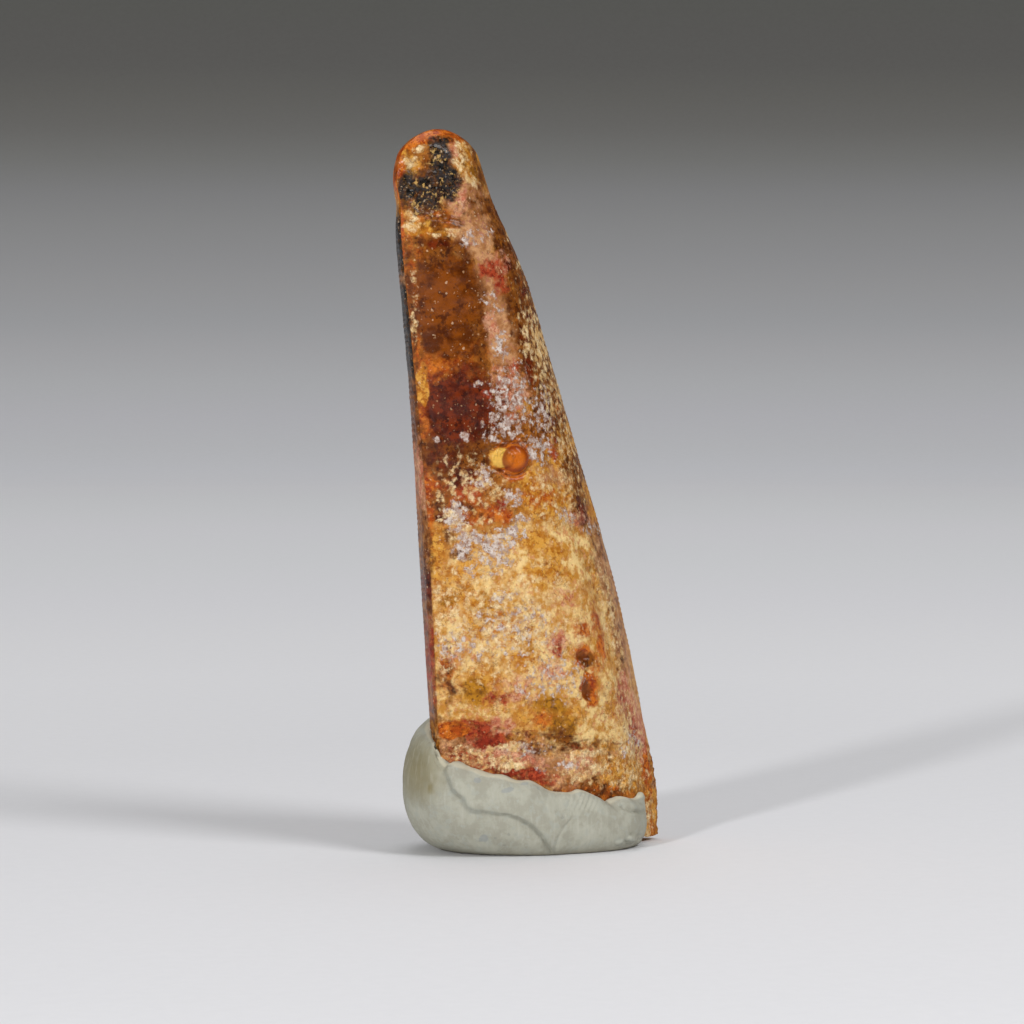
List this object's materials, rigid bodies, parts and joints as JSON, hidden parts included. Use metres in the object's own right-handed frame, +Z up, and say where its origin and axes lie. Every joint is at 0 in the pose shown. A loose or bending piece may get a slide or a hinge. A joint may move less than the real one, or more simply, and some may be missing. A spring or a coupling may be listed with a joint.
{
  "type": "fossil carcharodontosaurus tooth in a lump of modelling clay",
  "caption": "Tall blade-shaped fossil dinosaur tooth with worn tip, serrated edges and mottled amber enamel, stood upright in a small lump of grey-green modelling clay.",
  "frame": {"origin": "on the table under the middle of the whole specimen's bounding box", "axes": "+Z up along the tooth from root to tip, +X across the broad side of the tooth towards its curved fore edge, -Y out of the face that is shown"},
  "size_m": [0.0314, 0.019, 0.0742],
  "materials": {
    "fossil_enamel": "satin",
    "modelling_clay": "matte"
  },
  "bodies": {
    "root": {"tooth": "fossil_enamel", "putty_base": "modelling_clay"}
  },
  "joints": []
}
